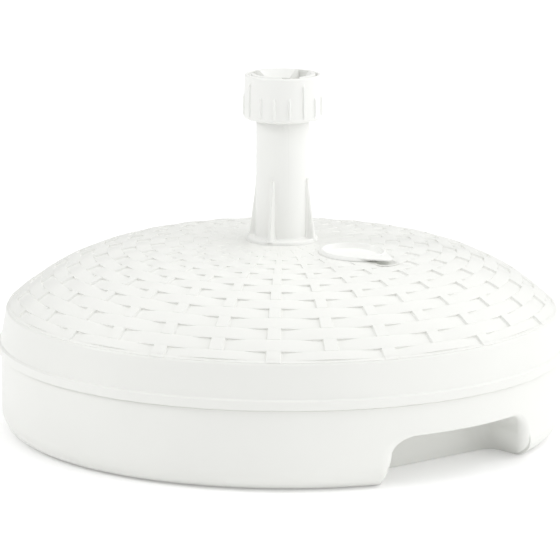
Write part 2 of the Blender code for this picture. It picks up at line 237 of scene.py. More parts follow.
def boolean(made, other, operation):
    """Joins, cuts or trims a mesh with another one, which is used up."""
    before = len(made.data.vertices)
    modifier = made.modifiers.new("cut", "BOOLEAN")
    modifier.operation = operation
    modifier.solver = "MANIFOLD"
    modifier.object = other
    bpy.context.view_layer.update()
    settle(made)
    bpy.data.objects.remove(other)
    if len(made.data.vertices) in (0, before):
        raise RuntimeError(f"the {operation} on {made.name} changed nothing")


def place(made, matrix):
    made.data.transform(matrix)
    return made


def finish_piece(made, body, node, finish, sharp=32):
    """Gives a piece its material and its body, and hides the CAD node that it stands for."""
    made.data.materials.clear()
    made.data.materials.append(finish)
    made.data.shade_smooth()
    made.data.set_sharp_from_angle(angle=math.radians(sharp))
    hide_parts(node)
    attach(made, body)


# ---- materials -----------------------------------------------------------------------------------
CLOUDING = 0.012
SHEEN_SPREAD = 0.05
GRAIN_DEPTH = 0.00004


def noise(tree, coords, scale, detail):
    made = tree.nodes.new("ShaderNodeTexNoise")
    made.inputs["Scale"].default_value = scale
    made.inputs["Detail"].default_value = detail
    tree.links.new(coords.outputs["Object"], made.inputs["Vector"])
    return made.outputs["Fac"]


def moulded_plastic(name, colour, roughness):
    """Satin moulded plastic: faint clouding, slight changes of sheen and a fine spark-eroded grain."""
    made = bpy.data.materials.new(name)
    made.use_nodes = True
    tree = made.node_tree
    shader = tree.nodes["Principled BSDF"]
    coords = tree.nodes.new("ShaderNodeTexCoord")

    tint = tree.nodes.new("ShaderNodeValToRGB")
    dark, light = tint.color_ramp.elements
    dark.position = 0.3
    light.position = 0.7
    dark.color = (*[c * (1 - CLOUDING) for c in colour], 1)
    light.color = (*[min(1, c * (1 + CLOUDING)) for c in colour], 1)
    tree.links.new(noise(tree, coords, 9.0, 3.0), tint.inputs["Fac"])
    tree.links.new(tint.outputs["Color"], shader.inputs["Base Color"])

    spread = tree.nodes.new("ShaderNodeMapRange")
    spread.inputs["From Min"].default_value = 0.3
    spread.inputs["From Max"].default_value = 0.7
    spread.inputs["To Min"].default_value = roughness - SHEEN_SPREAD
    spread.inputs["To Max"].default_value = roughness + SHEEN_SPREAD
    tree.links.new(noise(tree, coords, 60.0, 4.0), spread.inputs["Value"])
    tree.links.new(spread.outputs["Result"], shader.inputs["Roughness"])

    bump = tree.nodes.new("ShaderNodeBump")
    bump.inputs["Strength"].default_value = 0.35
    bump.inputs["Distance"].default_value = GRAIN_DEPTH
    tree.links.new(noise(tree, coords, 1400.0, 2.0), bump.inputs["Height"])
    tree.links.new(bump.outputs["Normal"], shader.inputs["Normal"])
    shader.inputs["Specular IOR Level"].default_value = 0.4
    return made


# ---- lower tank ----------------------------------------------------------------------------------
FOOT_INNER_RADIUS = 0.214
UNDERSIDE_HEIGHT = 0.0035
HUB_RADIUS = 0.035
HUB_HEIGHT = 0.010
TONGUE_TOP = 0.0812
TONGUE_INNER_RADIUS = 0.2512

HANDLE_ANGLES = (40.0, 220.0)
HANDLE_BACK = 0.188
HANDLE_HALF_WIDTH = 0.0752
HANDLE_SPLAY = 0.02
HANDLE_FLARE = 0.034
HANDLE_LEFT_FLARE = 0.017
HANDLE_LEFT_IN = 0.0060
HANDLE_TOP = 0.0450
HANDLE_CORNER = 0.0185
HANDLE_LEFT_CORNER = 0.0165
HANDLE_SIDE_ROUND = 0.014
HANDLE_ROOF_ROUND = 0.006

# How far under the floor the recess's cutter starts, and where the walls behind it end.
RECESS_BELOW = 0.02
RECESS_FOOT = 0.0004

# Radius of the rolled lip where the recess meets the drum's skin. It shrinks towards the foot.
LIP_RIGHT = 0.0075
LIP_TOP = 0.0024
LIP_LEFT = 0.0140
LIP_LOWEST = 0.0030
LIP_BY_HEIGHT = 0.72

# Lower points count as this high on the drum's skin, so that the lip goes straight to the floor.
SKIN_LOWEST = 0.004

CORNER_STEPS = 14
TOP_STEPS = 24
SIDE_STEPS = 26
TURN_STEPS = 8
LIP_STEPS = 14

# Stations of the plastic round a recess: distance from the axis, and how far it is wider.
RECESS_WALL_STATIONS = (
    (HANDLE_BACK - WALL, -0.001),
    (HANDLE_BACK - WALL + 0.002, 0.002),
    (HANDLE_BACK - WALL + 0.004, 0.003),
    (0.230, 0.0035),
    (0.241, 0.010),
    (0.285, 0.012),
)


def recess_side(half, top, corner, flare):
    """One side of the outline from its foot to the end of its round top corner."""
    knee = top - corner
    straight = np.linspace(-0.004, knee, SIDE_STEPS - 1)[:-1]
    heights = np.concatenate([[-RECESS_BELOW, -0.008], straight])
    side = [(half + flare * ((knee - z) / (knee + RECESS_BELOW)) ** 1.5, z) for z in heights]
    for k in range(CORNER_STEPS + 1):
        angle = math.pi / 2 * k / CORNER_STEPS
        side.append((half - corner + corner * math.cos(angle), knee + corner * math.sin(angle)))
    return side


def recess_outline(distance, side=0.0, above=0.0):
    """Outline (across, height) of a recess at a distance from the axis, from foot to foot."""
    half = HANDLE_HALF_WIDTH + HANDLE_SPLAY * (distance - HANDLE_BACK) + side
    top = HANDLE_TOP + above
    right = recess_side(half, top, HANDLE_CORNER, HANDLE_FLARE)
    left = recess_side(half - HANDLE_LEFT_IN, top, HANDLE_LEFT_CORNER, HANDLE_LEFT_FLARE)
    start, end = right[-1][0], -left[-1][0]
    roof = [(start + (end - start) * k / TOP_STEPS, top) for k in range(1, TOP_STEPS)]
    return np.array(right + roof + [(-x, z) for x, z in reversed(left)])


def lip_radii(heights):
    """Rounding of the recess's edge along its outline: wide at the sides, tight along the top."""
    count = len(heights)
    corner = smooth(np.arange(CORNER_STEPS + 1), 0, CORNER_STEPS)
    right = LIP_RIGHT + (LIP_TOP - LIP_RIGHT) * corner
    left = LIP_TOP + (LIP_LEFT - LIP_TOP) * corner
    radii = np.full(count, LIP_TOP)
    radii[:SIDE_STEPS] = LIP_RIGHT
    radii[SIDE_STEPS : SIDE_STEPS + len(right)] = right
    radii[count - SIDE_STEPS :] = LIP_LEFT
    radii[count - SIDE_STEPS - len(left) : count - SIDE_STEPS] = left
    allowed = np.maximum(LIP_LOWEST, LIP_BY_HEIGHT * heights + 0.0001)
    return np.minimum(radii, allowed)


def skin_depth(point):
    """Signed distance from the drum's outer skin, negative inside the plastic."""
    radius = math.hypot(point[0], point[1])
    height = max(point[2], SKIN_LOWEST)
    if height >= EDGE_ROUND:
        return radius - DRUM_RADIUS
    return math.hypot(radius - (DRUM_RADIUS - EDGE_ROUND), height - EDGE_ROUND) - EDGE_ROUND


def skin_normal(point):
    """Which way the drum's outer skin faces at a point."""
    radius = math.hypot(point[0], point[1])
    out = np.array((point[0] / radius, point[1] / radius, 0.0))
    height = max(point[2], SKIN_LOWEST)
    if height >= EDGE_ROUND:
        return out
    along = radius - (DRUM_RADIUS - EDGE_ROUND)
    rise = height - EDGE_ROUND
    normal = (out * along + UP * rise) / math.hypot(along, rise)
    return normal / np.linalg.norm(normal)


def wall_length(base, along, normal, lip):
    """How far a straight wall line runs out from the back before its rolled lip begins."""
    low, high = 0.0, 0.09
    for _ in range(40):
        middle = (low + high) / 2
        if skin_depth(base + along * middle + normal * lip) < -lip:
            low = middle
        else:
            high = middle
    return low


def recess_cutter(name, degrees):
    """The space of one handle recess, with a rolled lip where its walls meet the drum's skin."""
    forward, across = directions(degrees)
    ahead = 0.05
    outline = recess_outline(HANDLE_BACK)
    count = len(outline)

    def at(points, distance):
        return forward * distance + across * points[:, :1] + UP * points[:, 1:2]

    base = at(outline, HANDLE_BACK)
    along = (at(recess_outline(HANDLE_BACK + ahead), HANDLE_BACK + ahead) - base) / ahead
    tangent = np.roll(base, -1, axis=0) - np.roll(base, 1, axis=0)
    tangent[0] = base[1] - base[0]
    tangent[-1] = base[-1] - base[-2]
    normal = np.cross(tangent, along)
    normal /= np.linalg.norm(normal, axis=1)[:, None]
    inside = UP * 0.02 + forward * HANDLE_BACK
    if (normal[count // 2] @ (base[count // 2] - inside)) < 0:
        normal = -normal

    rings = []
    sideways = np.abs(normal @ across)[:, None]
    turn_in = HANDLE_ROOF_ROUND + (HANDLE_SIDE_ROUND - HANDLE_ROOF_ROUND) * sideways
    for k in range(TURN_STEPS + 1):
        angle = math.pi / 2 * k / TURN_STEPS
        forwards = along * turn_in * (1 - math.cos(angle))
        rings.append(base + forwards - normal * turn_in * (1 - math.sin(angle)))

    lips = lip_radii(outline[:, 1])
    walls = np.array([wall_length(*line) for line in zip(base, along, normal, lips)])
    for share in (0.35, 0.7, 1.0):
        reach = turn_in[:, 0] + (walls - turn_in[:, 0]) * share
        rings.append(base + along * reach[:, None])

    lips = lips[:, None]
    centre = base + along * walls[:, None] + normal * lips
    out = np.array([skin_normal(p) for p in centre])
    between = np.arccos(np.clip(np.sum(-normal * out, axis=1), -1, 1))[:, None]
    for k in range(1, LIP_STEPS + 1):
        share = k / LIP_STEPS
        start = np.sin((1 - share) * between) * -normal
        end = np.sin(share * between) * out
        rings.append(centre + (start + end) / np.sin(between) * lips)
    rings.append(centre + out * (lips + 0.03))
    return closed_loft(name, rings)


def recess_walls(name, degrees):
    """The walls behind a handle recess, inside the tank, trimmed to the drum's own skin."""
    forward, across = directions(degrees)
    rings = []
    for distance, side in RECESS_WALL_STATIONS:
        outline = recess_outline(distance, side, WALL)
        outline[:, 1] = np.maximum(outline[:, 1], RECESS_FOOT + 0.0001)
        outline[0, 1] = outline[-1, 1] = RECESS_FOOT
        rings.append(forward * distance + across * outline[:, :1] + UP * outline[:, 1:2])
    walls = closed_loft(name, rings)
    inset = 0.0012
    foot = 0.0002
    keep = [
        (0.0, foot, 0),
        (DRUM_RADIUS - inset, foot, EDGE_ROUND - inset),
        (DRUM_RADIUS - inset, 0.07, 0),
        (0.0, 0.07, 0),
    ]
    boolean(walls, lathe("drum_inside", rounded(keep, 12), 256), "INTERSECT")
    return walls


def make_drum(finish):
    seam_top = SEAM_HEIGHT - GAP
    tongue = DRUM_RADIUS - WALL - GAP
    bottom_top = UNDERSIDE_HEIGHT + WALL
    outline = [
        (0.0, UNDERSIDE_HEIGHT, 0),
        (FOOT_INNER_RADIUS - 0.003, UNDERSIDE_HEIGHT, 0.002),
        (FOOT_INNER_RADIUS, 0.0, 0.0012),
        (DRUM_RADIUS, 0.0, EDGE_ROUND),
        (DRUM_RADIUS, seam_top, 0.0014),
        (tongue, seam_top, 0),
        (tongue, TONGUE_TOP, 0.0006),
        (TONGUE_INNER_RADIUS, TONGUE_TOP, 0.0006),
        (TONGUE_INNER_RADIUS, 0.068, 0.002),
        (DRUM_RADIUS - WALL, 0.062, 0.002),
        (DRUM_RADIUS - WALL, WALL, EDGE_ROUND - WALL),
        (FOOT_INNER_RADIUS - 0.0015, WALL, 0.001),
        (FOOT_INNER_RADIUS - 0.0045, bottom_top, 0.001),
        (HUB_RADIUS + 0.002, bottom_top, 0.001),
        (HUB_RADIUS, HUB_HEIGHT, 0.001),
        (0.0, HUB_HEIGHT, 0),
    ]
    drum = lathe("drum", rounded(outline, 12), 384)
    for degrees in HANDLE_ANGLES:
        boolean(drum, recess_walls(f"recess_walls_{degrees:.0f}", degrees), "UNION")
        boolean(drum, recess_cutter(f"recess_{degrees:.0f}", degrees), "DIFFERENCE")
    finish_piece(drum, "base", "lower_tank", finish)


# ---- woven upper shell ---------------------------------------------------------------------------
BEAD_RADIUS = 0.260
BEAD_TOP = 0.0820
SHOULDER_RADIUS = 0.2580
SHOULDER_HEIGHT = 0.0836
SHELL_UNDERSIDE = 0.0103
DOME_INSIDE_RADII = (0.06, 0.1, 0.14, 0.17, 0.19, 0.205, 0.22, 0.232, 0.241, 0.2495)

NECK_BORE = 0.0285
NECK_RADIUS = 0.0307
NECK_BOTTOM = -0.014
SEAT_RADIUS = 0.0313
SEAT_OUTER_RADIUS = 0.0338
SEAT_UNDERSIDE = -0.0032

# Columns of points at a stake, in degrees from its middle, close together at its edges.
STAKE_COLUMNS = (0.0, 0.8, 1.4, 1.5, 1.58, 1.66)
COLUMNS_BETWEEN = 12

# Rings of points across a row, as shares of its pitch, and the width of the step to the next row.
ROW_SHARES = (0.0, 0.03, 0.075, 0.15, 0.3, 0.5, 0.7, 0.85, 0.925, 0.97, 1.0)
ROW_STEP = 0.00011

# The border from the crease to the first row: arc length, and level as a share of the relief.
# It begins with a groove and a low lip. None is where the first row's own relief begins.
BORDER = (
    (0.0002, -0.7),
    (0.0006, -0.7),
    (0.0010, 0.45),
    (0.0016, 0.45),
    (0.0026, 0.05),
    (0.0036, 0.05),
    (0.0038, None),
    (0.0043, None),
)


def arc_table():
    """Arc length on the dome, inwards from the crease, against its radius."""
    radii = np.linspace(CREASE_RADIUS, WEAVE_INNER_RADIUS - 0.01, 4000)
    heights = dome_height(radii)
    lengths = np.concatenate([[0.0], np.cumsum(np.hypot(np.diff(radii), np.diff(heights)))])
    return lengths, radii


def weave_columns():
    """Angles of the weave's columns of points, in degrees."""
    edge = STAKE_COLUMNS[-1]
    offsets = [-offset for offset in reversed(STAKE_COLUMNS[1:])] + list(STAKE_COLUMNS)
    spread = STAKE_STEP - 2 * edge
    offsets += [edge + spread * k / COLUMNS_BETWEEN for k in range(1, COLUMNS_BETWEEN)]
    columns = []
    for stake in range(STAKES):
        columns += [FIRST_STAKE + stake * STAKE_STEP + offset for offset in offsets]
    return np.array(columns)


def stake_places(degrees):
    """For each angle: its place counted in stakes, the nearest stake and the angle to it."""
    phase = (degrees - FIRST_STAKE) / STAKE_STEP
    stake = np.round(phase)
    return phase, stake, np.abs(degrees - FIRST_STAKE - stake * STAKE_STEP)


def stake_bevel(offset):
    """1 on a stake and 0 beside it, with a narrow bevel between."""
    return smooth(offset, STAKE_HALF + 0.12, STAKE_HALF - 0.10)


def weave_relief(degrees, row, share):
    """Height of the weave over the plain dome, for one ring of angles at a share of one row."""
    phase, stake, offset = stake_places(degrees)
    swing = np.cos(math.pi * (phase + row))
    crown = 1 - abs(2 * share - 1) ** 5
    strand = RELIEF * (0.95 * swing + 0.28 * (crown - 1))
    block = RELIEF * (0.92 - 0.12 * (offset / STAKE_HALF) ** 2)
    on_top = (stake + row) % 2 == 1
    return np.where(on_top, strand + (block - strand) * stake_bevel(offset), strand)


def lifted(angles, radius, relief):
    """A ring on the dome, moved out square to it by the relief."""
    slope = dome_slope(radius)
    length = math.hypot(1.0, slope)
    return ring(radius + relief * slope / length, dome_height(radius) + relief / length, angles)


def border_rings(angles, degrees, lengths, radii):
    """The strip between the crease and the first row; only stakes that lie on top cross it."""
    rings = []
    for arc, level in BORDER:
        radius = float(np.interp(arc, lengths, radii))
        relief = weave_relief(degrees, 1, max(0.06, (arc - 0.0036) / ROW_PITCH))
        if level is not None:
            _, stake, offset = stake_places(degrees)
            crossing = np.where((stake + 1) % 2 == 1, stake_bevel(offset), 0.0)
            rise = smooth(np.array(arc), 0.0004, 0.0012)
            relief = RELIEF * level + (relief - RELIEF * level) * crossing * rise
        rings.append(lifted(angles, radius, relief))
    return rings


def weave_rings(angles, degrees, lengths, radii):
    """Rings of the woven rows, from the border to the plain middle."""
    last = float(np.interp(WEAVE_INNER_RADIUS, radii[::-1], lengths[::-1]))
    rings = []
    for row in range(1, math.ceil(last / ROW_PITCH) + 1):
        for share in ROW_SHARES:
            arc = (row - 1 + share) * ROW_PITCH
            if share == 0.0:
                arc += ROW_STEP
            if share == 1.0:
                arc -= ROW_STEP
            if row == 1 and share < 0.3:
                continue
            if arc > last:
                break
            radius = float(np.interp(arc, lengths, radii))
            fade = 0.10 + 0.90 * smooth(np.array(radius), 0.030, 0.190)
            relief = weave_relief(degrees, row, share) * fade * plug_mask(angles, radius)
            rings.append(lifted(angles, radius, relief))
    return rings


def plug_mask(angles, radius):
    """0 round the fill plug and its finger scoop, where the dome is plain, and 1 elsewhere."""
    centre = polar(PLUG_DISTANCE, PLUG_ANGLE)
    across = radius * np.sin(angles) - centre.x
    ahead = -radius * np.cos(angles) - centre.y
    away = smooth(np.hypot(across, ahead), 0.0335, 0.0350)
    middle = polar(SCOOP_DISTANCE, PLUG_ANGLE)
    turn = math.radians(PLUG_ANGLE)
    across, ahead = across - middle.x, ahead - middle.y
    along = across * math.cos(turn) + ahead * math.sin(turn)
    aside = ahead * math.cos(turn) - across * math.sin(turn)
    return away * smooth(np.hypot(along / SCOOP_SIZE[0], aside / SCOOP_SIZE[1]), 1.05, 1.25)


def plug_matrix():
    """From the plug's own axes, with its seat at the origin, to the model's."""
    normal = polar(dome_slope(PLUG_DISTANCE), PLUG_ANGLE, 1.0).normalized()
    turn = Vector((0, 0, 1)).rotation_difference(normal).to_matrix().to_4x4()
    seat = polar(PLUG_DISTANCE, PLUG_ANGLE, dome_height(PLUG_DISTANCE))
    return Matrix.Translation(seat) @ turn


def scoop(name, grow=0.0, flat_top=None):
    """The finger scoop under the plug's tab: a squashed ball, or its lower part for its skin."""
    bm = bmesh.new()
    bmesh.ops.create_uvsphere(bm, u_segments=48, v_segments=24, radius=1.0)
    if flat_top is not None:
        level = (0, 0, flat_top / (SCOOP_SIZE[2] + grow))
        whole = bm.verts[:] + bm.edges[:] + bm.faces[:]
        cut = bmesh.ops.bisect_plane(
            bm, geom=whole, plane_co=level, plane_no=(0, 0, 1), clear_outer=True
        )
        rim = [edge for edge in cut["geom_cut"] if isinstance(edge, bmesh.types.BMEdge)]
        bmesh.ops.contextual_create(bm, geom=rim)
    scale = Matrix.Diagonal([half + grow for half in SCOOP_SIZE]).to_4x4()
    turn = Matrix.Rotation(math.radians(PLUG_ANGLE), 4, "Z")
    at = Matrix.Translation(polar(SCOOP_DISTANCE, PLUG_ANGLE))
    bmesh.ops.transform(bm, matrix=at @ turn @ scale, verts=bm.verts)
    return from_bmesh(name, bm)


def shell_rings():
    """The shell's section round its whole loop: bead, dome, well, and back along the inside."""
    degrees = weave_columns()
    angles = np.radians(degrees)
    table = arc_table()
    skirt = DRUM_RADIUS - WALL + 0.0001
    lower = [
        (skirt, SEAM_HEIGHT, 0.0),
        (BEAD_RADIUS, SEAM_HEIGHT, 0.0006),
        (BEAD_RADIUS, BEAD_TOP, 0.0009),
        (SHOULDER_RADIUS, SHOULDER_HEIGHT, 0.0008),
        (CREASE_RADIUS + 0.0006, CREASE_HEIGHT - 0.0004, 0.0045),
        (CREASE_RADIUS - 0.006, CREASE_HEIGHT + 0.0050, 0.0),
    ]
    well = [
        (0.0345, dome_height(0.0345), 0.0),
        (WELL_RADIUS, dome_height(WELL_RADIUS), 0.0012),
        (WELL_RADIUS, WELL_FLOOR, 0.0015),
        (0.0, WELL_FLOOR, 0.0),
    ]
    inside = [(WELL_RADIUS + WALL, SHELL_UNDERSIDE)]
    for radius in (WELL_RADIUS + WALL, *DOME_INSIDE_RADII):
        inside.append((radius, dome_height(radius) - WALL * math.hypot(1.0, dome_slope(radius))))
    inside += [(0.2555, 0.0862), (skirt, 0.0835)]

    rings = [ring(r, z, angles) for r, z in rounded(lower, 8)[:-1]]
    rings += border_rings(angles, degrees, *table)
    rings += weave_rings(angles, degrees, *table)
    rings += [ring(r, z, angles) for r, z in rounded(well, 5)[:-1]]
    rings += [np.array([[0.0, 0.0, WELL_FLOOR]]), np.array([[0.0, 0.0, SHELL_UNDERSIDE]])]
    return rings + [ring(r, z, angles) for r, z in inside]


def make_shell(finish):
    shell = skin("woven_shell", shell_rings())
    seat = plug_matrix()
    neck = [
        (0.0, NECK_BOTTOM, 0),
        (NECK_RADIUS, NECK_BOTTOM, 0.0005),
        (NECK_RADIUS, SEAT_UNDERSIDE, 0.0),
        (SEAT_OUTER_RADIUS, SEAT_UNDERSIDE, 0.0),
        (SEAT_OUTER_RADIUS, SEAT_TOP, 0.0003),
        (0.0, SEAT_TOP, 0),
    ]
    hole = [
        (0.0, -0.03),
        (NECK_BORE, -0.03),
        (NECK_BORE, SEAT_TOP),
        (SEAT_RADIUS, SEAT_TOP),
        (SEAT_RADIUS, 0.01),
        (0.0, 0.01),
    ]
    boolean(shell, place(lathe("neck", rounded(neck, 4), 128), seat), "UNION")
    boolean(shell, place(scoop("scoop_skin", grow=0.0022, flat_top=-0.0012), seat), "UNION")
    boolean(shell, place(scoop("scoop_hollow"), seat), "DIFFERENCE")
    boolean(shell, place(lathe("hole", hole, 128), seat), "DIFFERENCE")
    finish_piece(shell, "base", "upper_shell", finish)


# ---- pole tube -----------------------------------------------------------------------------------
TUBE_RADIUS = 0.024
TUBE_BORE = 0.021
TUBE_TOP = 0.312
FLANGE_RADIUS = 0.0328
FLANGE_BOTTOM = APEX_HEIGHT + 0.00005
FLANGE_TOP = APEX_HEIGHT + 0.0034

FIN_ANGLES = (-22.0, 68.0, 158.0, 248.0)
FIN_HEIGHT = 0.055
FIN_REACH = 0.0074
FIN_BURY = 0.0012
FIN_SHIFT = 0.0012
FIN_ROOT_RADIUS = 0.0205
FIN_LEVELS = 26
NOSE_STEPS = 8

THREAD_PITCH = 0.005
THREAD_START = 0.2925
THREAD_HALF_WIDTH = 0.0013
THREAD_STEPS = 96
MALE_CREST_RADIUS = 0.0263
FEMALE_CREST_RADIUS = 0.0252

# A thread's ridge: share of its height, and place across it as a share of its half width.
THREAD_RIDGE = (
    (0, -1),
    (0.55, -0.72),
    (0.9, -0.5),
    (1, -0.3),
    (1, 0.3),
    (0.9, 0.5),
    (0.55, 0.72),
    (0, 1),
)


def thread(name, buried, crest, turns, offset=0.0):
    """A helical ridge with a rounded crest, right-handed, tapering out at both ends."""
    rings = []
    total = round(turns * THREAD_STEPS)
    run_out = THREAD_STEPS / 6
    for k in range(total + 1):
        angle = 2 * math.pi * k / THREAD_STEPS
        height = THREAD_START + offset + THREAD_PITCH * k / THREAD_STEPS
        taper = min(1.0, k / run_out, (total - k) / run_out)
        tip = buried + (crest - buried) * (0.05 + 0.95 * taper)
        row = []
        for share, rise in THREAD_RIDGE:
            radius = buried + (tip - buried) * share
            z = height + THREAD_HALF_WIDTH * rise
            row.append((radius * math.sin(angle), -radius * math.cos(angle), z))
        rings.append(np.array(row))
    return closed_loft(name, rings)


def fin_section(share):
    """A fin's outline (outwards, across) at a share of its height: thick and long at the foot."""
    reach = TUBE_RADIUS + 0.0002 + FIN_REACH * (1 - share) ** 1.15
    reach += 0.0010 * max(0.0, 1 - share / 0.08) ** 2
    half = 0.0015 + 0.0007 * (1 - share) + 0.0016 * max(0.0, 1 - share / 0.16) ** 2
    if share == 1:
        half = 0.0006
    foot = half + 0.0007
    straight = max(reach - half * 0.95, TUBE_RADIUS + 0.0007)
    side = [
        (FIN_ROOT_RADIUS, foot),
        (TUBE_RADIUS - 0.0004, foot),
        (TUBE_RADIUS + 0.0006, half),
        (straight, half),
    ]
    nose = []
    for i in range(1, NOSE_STEPS):
        angle = -math.pi / 2 + math.pi * i / NOSE_STEPS
        nose.append((straight + (reach - straight) * math.cos(angle), half * math.sin(angle)))
    return [(r, -x) for r, x in side] + nose + side[::-1]


def fin(name, degrees):
    """A buttress that runs from the tube out to the flange's edge, wider towards its foot."""
    forward, across = directions(degrees)
    rings = []
    for k in range(FIN_LEVELS + 1):
        share = k / FIN_LEVELS
        z = FLANGE_TOP - FIN_BURY + (FIN_HEIGHT + FIN_BURY) * share
        row = [forward * (r + FIN_SHIFT) + across * x + UP * z for r, x in fin_section(share)]
        rings.append(np.array(row))
    return closed_loft(name, rings)


def make_tube(finish):
    outline = [
        (TUBE_BORE, WELL_FLOOR + GAP, 0.0006),
        (TUBE_RADIUS, WELL_FLOOR + GAP, 0.0010),
        (TUBE_RADIUS, FLANGE_BOTTOM, 0.0),
        (FLANGE_RADIUS, FLANGE_BOTTOM, 0.0),
        (FLANGE_RADIUS - 0.0006, FLANGE_TOP, 0.0024),
        (TUBE_RADIUS, FLANGE_TOP, 0.0022),
        (TUBE_RADIUS, TUBE_TOP, 0.0008),
        (TUBE_BORE, TUBE_TOP, 0.0006),
    ]
    tube = lathe("tube", rounded(outline, 7), 192)
    for k, degrees in enumerate(FIN_ANGLES):
        boolean(tube, fin(f"fin_{k}", degrees), "UNION")
    male = thread("male_thread", TUBE_RADIUS - 0.0007, MALE_CREST_RADIUS, 3.0)
    boolean(tube, male, "UNION")
    finish_piece(tube, "tube", "pole_tube", finish, sharp=28)


# ---- screw clamp ---------------------------------------------------------------------------------
RIBS = 16
RIB_START = -12.5
RIB_PROUD = 0.0016
RIB_HALF_WIDTH = 0.0010
COLUMNS_PER_RIB = 40
LONG_RIB_EVERY = 4
SHORT_RIB_TOP = 0.3085
LONG_RIB_TOP = 0.3205

NUT_BOTTOM = 0.286
NUT_TOP = 0.3275
NUT_BORE = 0.027
NUT_FOOT_RADIUS = 0.0354
NUT_HEAD_RADIUS = 0.0348
NUT_SKIN_RADIUS = 0.0335
MOUTH_RADIUS = 0.0318

COLLET_BORE = 0.0195
COLLET_RADIUS = 0.0300
COLLET_BOTTOM = 0.3123
COLLET_RING_TOP = 0.316
COLLET_TOP = 0.328
JAW_GAP_ANGLES = (15.0, 135.0, 255.0)
JAW_GAP_HALF = 0.0085
JAW_GAP_CORNER = 0.0012
JAW_GAP_STEPS = 6


def rib_ends(height, top):
    """1 along a rib and 0 past its lower and upper ends."""
    low = smooth(height, NUT_BOTTOM + 0.0036, NUT_BOTTOM + 0.0056)
    return low * smooth(height, top + 0.0006, top - 0.0010)


def make_nut(finish):
    columns = RIBS * COLUMNS_PER_RIB
    degrees = RIB_START + 360.0 * (np.arange(columns) + 0.5) / columns
    angles = np.radians(degrees)
    outline = [
        (NUT_BORE + GAP, NUT_BOTTOM, 0.0005),
        (0.0300, NUT_BOTTOM, 0.0006),
        (NUT_FOOT_RADIUS + 0.0004, NUT_BOTTOM + 0.0016, 0.0026),
        (NUT_FOOT_RADIUS, NUT_BOTTOM + 0.0060, 0.003),
        (NUT_HEAD_RADIUS, NUT_TOP, 0.0015),
        (MOUTH_RADIUS, NUT_TOP, 0.0008),
        (MOUTH_RADIUS, 0.3160, 0.001),
        (0.0312, 0.3085, 0.0005),
        (NUT_BORE, 0.3075, 0.0005),
        (NUT_BORE, NUT_BOTTOM + 0.003, 0.001),
    ]
    step = 360.0 / RIBS
    rib = np.round((degrees - RIB_START) / step)
    offset = np.abs(degrees - RIB_START - rib * step)
    is_long = (rib % LONG_RIB_EVERY) == LONG_RIB_EVERY // 2
    half = math.degrees(RIB_HALF_WIDTH / NUT_FOOT_RADIUS)
    ridge = smooth(offset, half * 1.3, half * 0.45)
    rings = []
    for radius, height in refine(rounded(outline, 8), 0.0011):
        proud = 0.0
        if radius > NUT_SKIN_RADIUS and height > NUT_BOTTOM + 0.003:
            tall, short = rib_ends(height, LONG_RIB_TOP), rib_ends(height, SHORT_RIB_TOP)
            proud = ridge * np.where(is_long, tall, short) * RIB_PROUD
        rings.append(ring(radius + proud, height, angles))
    nut = skin("nut", rings)
    female = thread("female_thread", NUT_BORE + 0.0007, FEMALE_CREST_RADIUS, 2.0, THREAD_PITCH / 2)
    boolean(nut, female, "UNION")
    finish_piece(nut, "nut", "clamp_nut", finish, sharp=50)


def jaw_gap(name, degrees):
    """The space between two jaws of the collet, with rounded lower corners."""
    _, across = directions(degrees)
    centre = JAW_GAP_HALF - JAW_GAP_CORNER
    floor = COLLET_RING_TOP + JAW_GAP_CORNER
    outline = [(JAW_GAP_HALF, COLLET_TOP + 0.007), (-JAW_GAP_HALF, COLLET_TOP + 0.007)]
    for middle, start in ((-centre, math.pi), (centre, -math.pi / 2)):
        for i in range(JAW_GAP_STEPS + 1):
            angle = start + math.pi / 2 * i / JAW_GAP_STEPS
            x = middle + JAW_GAP_CORNER * math.cos(angle)
            outline.append((x, floor + JAW_GAP_CORNER * math.sin(angle)))
    rings = []
    for distance in (0.010, 0.040):
        row = [np.array(polar(distance, degrees, z)) + across * x for x, z in outline]
        rings.append(np.array(row))
    return closed_loft(name, rings)


def make_collet(finish):
    outline = [
        (COLLET_BORE, COLLET_BOTTOM, 0.0005),
        (COLLET_RADIUS, COLLET_BOTTOM, 0.0005),
        (COLLET_RADIUS, COLLET_RING_TOP, 0.0004),
        (COLLET_RADIUS - 0.0002, COLLET_TOP - 0.002, 0.0),
        (COLLET_RADIUS - 0.0007, COLLET_TOP, 0.0009),
        (0.0258, COLLET_TOP, 0.0008),
        (COLLET_BORE, 0.3208, 0.0015),
    ]
    collet = lathe("collet", rounded(outline), 240)
    for k, degrees in enumerate(JAW_GAP_ANGLES):
        boolean(collet, jaw_gap(f"gap_{k}", degrees), "DIFFERENCE")
    bevel = collet.modifiers.new("edges", "BEVEL")
    bevel.width = 0.00035
    bevel.segments = 2
    bevel.limit_method = "ANGLE"
    bevel.angle_limit = math.radians(50)
    settle(collet)
    finish_piece(collet, "collet", "clamp_collet", finish)


# ---- fill plug -----------------------------------------------------------------------------------
PLUG_RADIUS = 0.0310
PLUG_RIM_HEIGHT = 0.0034
PLUG_DISH = -0.0012
PLUG_BODY_RADIUS = 0.027
PLUG_HOLLOW_RADIUS = 0.0229
PLUG_HOLLOW_TOP = -0.0034
PLUG_BOTTOM = -0.016
GROOVE_RADIUS = 0.0249
GROOVE_HALF = 0.0018
SEAL_HEIGHT = -0.008
SEAL_RING_RADIUS = 0.0267
SEAL_SECTION = 0.0015
SEAL_STEPS = 20

TAB_REACH = 0.0375
TAB_RADIUS = 0.0075
TAB_ROOT = 0.0285

# The lifting tab's edge from below upwards: height, and how far it is drawn in.
TAB_EDGE = (
    (0.0012, 0.0007),
    (0.0014, 0.0002),
    (0.0017, 0.0),
    (0.0022, 0.0),
    (0.0026, 0.0002),
    (0.0028, 0.0007),
)


